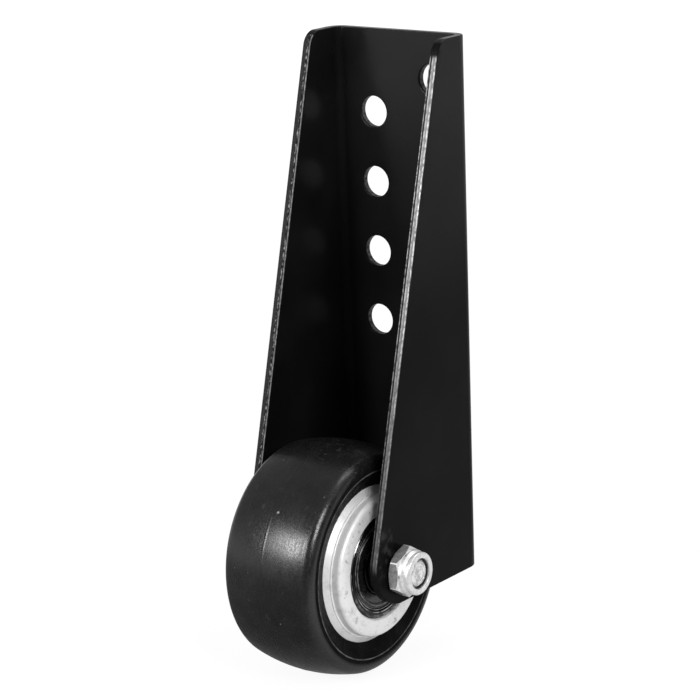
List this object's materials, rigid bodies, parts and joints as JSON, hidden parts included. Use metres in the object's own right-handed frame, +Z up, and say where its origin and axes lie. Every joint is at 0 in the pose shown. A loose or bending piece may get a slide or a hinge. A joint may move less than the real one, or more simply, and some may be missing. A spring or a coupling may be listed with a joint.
{
  "type": "gate wheel",
  "caption": "Gate wheel: a black-treaded wheel on sealed ball bearings, carried by an axle bolt between the tapered flanges of a folded steel channel that bolts to a gate.",
  "frame": {"origin": "middle of the back face of the bracket's web, which lies against the gate", "axes": "+X along the axle towards the lock nut, +Y out of the back face towards the gate, +Z up"},
  "size_m": [0.072, 0.0901, 0.2187],
  "materials": {
    "black_coat": "satin black powder coat on steel",
    "zinc_steel": "bright zinc plate",
    "bearing_steel": "ground",
    "blackened_steel": "chemically blackened",
    "ball_steel": "polished",
    "hub_aluminium": "satin, turned",
    "tread_rubber": "satin moulded",
    "seal_rubber": "matte",
    "nylon": "matte"
  },
  "bodies": {
    "bracket": {"bracket": "black_coat", "axle_bolt": "zinc_steel", "lock_nut": "zinc_steel", "lock_nut_insert": "nylon", "axle_sleeve": "zinc_steel", "right_spacer": "blackened_steel", "left_spacer": "blackened_steel", "bearing_spacer": "zinc_steel", "left_inner_ring": "bearing_steel", "right_inner_ring": "bearing_steel"},
    "wheel": {"tread": "tread_rubber", "hub": "hub_aluminium", "left_outer_ring": "bearing_steel", "right_outer_ring": "bearing_steel", "left_outer_seal": "seal_rubber", "left_inner_seal": "seal_rubber", "right_outer_seal": "seal_rubber", "right_inner_seal": "seal_rubber"},
    "left_ball_set": {"left_balls": "ball_steel", "left_cage": "bearing_steel"},
    "right_ball_set": {"right_balls": "ball_steel", "right_cage": "bearing_steel"}
  },
  "joints": [
    {"name": "wheel_spin", "type": "hinge", "parent": "bracket", "child": "wheel", "pos_m": [0, -0.0491, -0.0827], "axis": [1, 0, 0], "continuous": true},
    {"name": "left_ball_spin", "type": "hinge", "parent": "bracket", "child": "left_ball_set", "pos_m": [0, -0.0491, -0.0827], "axis": [1, 0, 0], "continuous": true},
    {"name": "right_ball_spin", "type": "hinge", "parent": "bracket", "child": "right_ball_set", "pos_m": [0, -0.0491, -0.0827], "axis": [1, 0, 0], "continuous": true}
  ],
  "couplings": [
    {"joint": "left_ball_spin", "follows": "wheel_spin", "ratio": 0.646},
    {"joint": "right_ball_spin", "follows": "wheel_spin", "ratio": 0.646}
  ]
}
